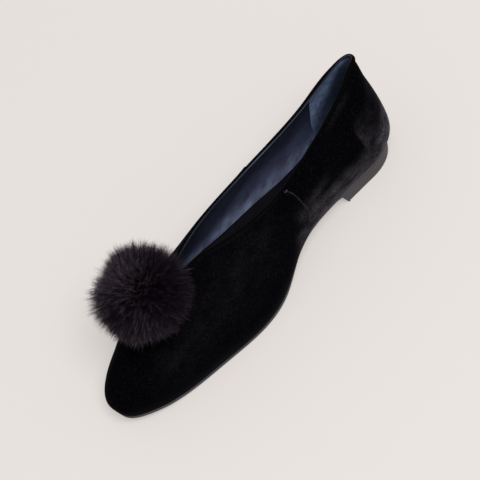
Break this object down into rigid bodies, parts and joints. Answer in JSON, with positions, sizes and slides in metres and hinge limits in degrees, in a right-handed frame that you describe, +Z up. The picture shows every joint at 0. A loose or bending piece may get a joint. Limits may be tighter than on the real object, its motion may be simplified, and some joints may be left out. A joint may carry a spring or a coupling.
{
  "type": "ballet flat",
  "caption": "Slip-on ballet flat in black velvet with a corded topline, low block heel and a faux-fur pompom over the throat; left shoe, standing empty on its sole",
  "frame": {"origin": "middle of the shoe's bounding box, at floor level", "axes": "+Z up, toe towards -Y, outer side of the left foot towards +X"},
  "size_m": [0.0714, 0.2466, 0.0937],
  "materials": {
    "sole": "matte",
    "heel": "satin",
    "velvet": "cut pile",
    "sock": "matte",
    "binding": "ribbed tape",
    "fur": "faux fur"
  },
  "bodies": {
    "root": {"outsole": "sole", "heel": "heel", "upper": "velvet", "insole": "sock", "topline_binding": "binding", "pompom": "fur"}
  },
  "joints": []
}
